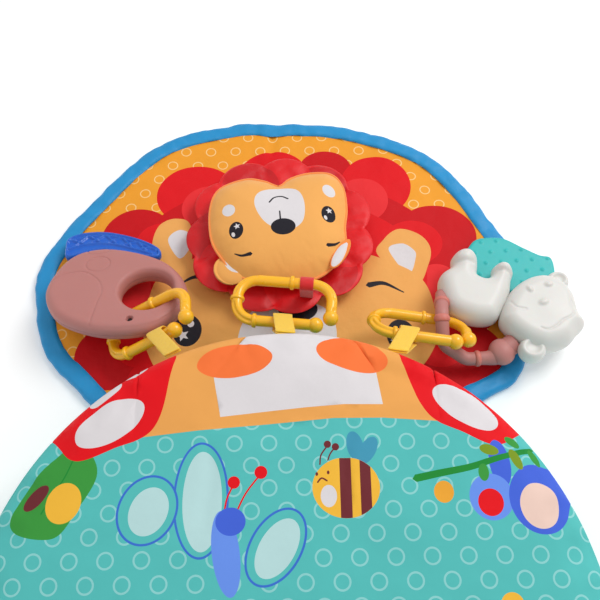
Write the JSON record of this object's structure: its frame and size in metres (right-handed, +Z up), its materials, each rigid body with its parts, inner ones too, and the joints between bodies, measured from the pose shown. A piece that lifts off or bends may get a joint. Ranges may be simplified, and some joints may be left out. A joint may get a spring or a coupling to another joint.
{
  "type": "activity play gym",
  "caption": "Wedge play cushion with a round front, a folding print flap and hanging toys on split rings: a rattle, a bear teether and a soft lion face.",
  "frame": {"origin": "on the underside of the base panel, under the centre of the round front", "axes": "+Y from the low near end towards the flap, +X right seen from above with +Y away, +Z up"},
  "size_m": [0.4979, 0.7413, 0.0999],
  "materials": {
    "cushion_fabric": "woven polyester, printed",
    "band_fabric": "woven polyester",
    "base_fabric": "plain weave, matt",
    "foam": "open-cell polyurethane foam",
    "zip_tape": "woven tape with a nylon coil",
    "zip_metal": "lacquered zinc",
    "flap_fabric": "printed satin",
    "flap_back_fabric": "plain weave",
    "binding_satin": "satin, gathered",
    "wadding": "polyester wadding",
    "loop_webbing": "woven webbing",
    "tab_webbing": "satin tape",
    "ring_plastic": "smooth",
    "mauve_plastic": "fine matt texture",
    "comb_plastic": "smooth",
    "screw_steel": "plated",
    "bead_plastic": "smooth",
    "bear_plastic": "smooth",
    "teal_silicone": "satin",
    "plush_tan": "short pile velour",
    "squeaker_plastic": "moulded",
    "mane_satin": "crinkled satin"
  },
  "bodies": {
    "base": {"foam_core": "foam", "top_cover": "cushion_fabric", "side_band": "band_fabric", "base_panel": "base_fabric", "zip_tape": "zip_tape", "flap_root_panel": "flap_fabric", "flap_root_binding": "binding_satin"},
    "zip_slider": {"zip_slider": "zip_metal"},
    "zip_pull": {"zip_pull": "zip_metal"},
    "flap_leaf": {"flap_front_fabric": "flap_fabric", "flap_wadding": "wadding", "flap_back_fabric": "flap_back_fabric", "flap_binding": "binding_satin"},
    "loop_left": {"loop_left": "loop_webbing"},
    "loop_centre": {"loop_centre": "loop_webbing"},
    "loop_right": {"loop_right": "loop_webbing"},
    "ring_left": {"ring_left": "ring_plastic"},
    "ring_centre": {"ring_centre": "ring_plastic"},
    "ring_right": {"ring_right": "ring_plastic"},
    "rattle": {"rattle_front_shell": "mauve_plastic", "rattle_back_shell": "mauve_plastic", "rattle_comb": "comb_plastic", "rattle_screw": "screw_steel", "rattle_beads": "bead_plastic"},
    "bear": {"bear_head": "bear_plastic", "bear_body": "bear_plastic", "bear_ring": "mauve_plastic", "bear_teether_pad": "teal_silicone"},
    "plush": {"plush_face_cover": "plush_tan", "plush_filling": "wadding", "plush_squeaker": "squeaker_plastic", "plush_mane": "mane_satin", "plush_back": "plush_tan", "plush_tab": "tab_webbing"}
  },
  "joints": [
    {"name": "zip_slide", "type": "slide", "parent": "base", "child": "zip_slider", "axis": [-1, 0, 0], "range_m": [0, 0.23]},
    {"name": "zip_pull_swing", "type": "hinge", "parent": "zip_slider", "child": "zip_pull", "pos_m": [0.117, -0.20639, 0.013], "axis": [0, 0, -1], "range_deg": [0, 170]},
    {"name": "flap_fold", "type": "hinge", "parent": "base", "child": "flap_leaf", "pos_m": [0, 0.252, 0], "axis": [1, 0, 0], "range_deg": [-90, 0]},
    {"name": "loop_left_swing", "type": "hinge", "parent": "base", "child": "loop_left", "pos_m": [-0.09093, 0.21951, 0.086], "axis": [0.9239, 0.3827, 0], "range_deg": [0, 80]},
    {"name": "ring_left_swing", "type": "hinge", "parent": "loop_left", "child": "ring_left", "pos_m": [-0.1095, 0.25222, 0.05021], "axis": [0.8397, 0.1481, 0.5225], "range_deg": [0, 15]},
    {"name": "loop_centre_swing", "type": "hinge", "parent": "base", "child": "loop_centre", "pos_m": [0, 0.2362, 0.086], "axis": [1, 0, 0], "range_deg": [0, 95]},
    {"name": "ring_centre_swing", "type": "hinge", "parent": "loop_centre", "child": "ring_centre", "pos_m": [-0.00308, 0.26036, 0.059], "axis": [0.9947, -0.1028, 0], "range_deg": [0, 60]},
    {"name": "loop_right_swing", "type": "hinge", "parent": "base", "child": "loop_right", "pos_m": [0.09047, 0.21841, 0.086], "axis": [0.9239, -0.3827, 0], "range_deg": [0, 80]},
    {"name": "ring_right_swing", "type": "hinge", "parent": "loop_right", "child": "ring_right", "pos_m": [0.10531, 0.24803, 0.056], "axis": [0.9882, -0.1196, -0.0958], "range_deg": [0, 15]},
    {"name": "rattle_swing", "type": "hinge", "parent": "ring_left", "child": "rattle", "pos_m": [-0.13458, 0.2697, 0.0415], "axis": [-0.0697, 0.9719, -0.225], "range_deg": [0, 20]},
    {"name": "plush_swing", "type": "hinge", "parent": "ring_centre", "child": "plush", "pos_m": [0.01899, 0.29879, 0.059], "axis": [0.9947, -0.1028, 0], "range_deg": [0, 25]},
    {"name": "bear_swing", "type": "hinge", "parent": "ring_right", "child": "bear", "pos_m": [0.13776, 0.26061, 0.04108], "axis": [0.9882, -0.1196, -0.0958], "range_deg": [0, 15]}
  ]
}
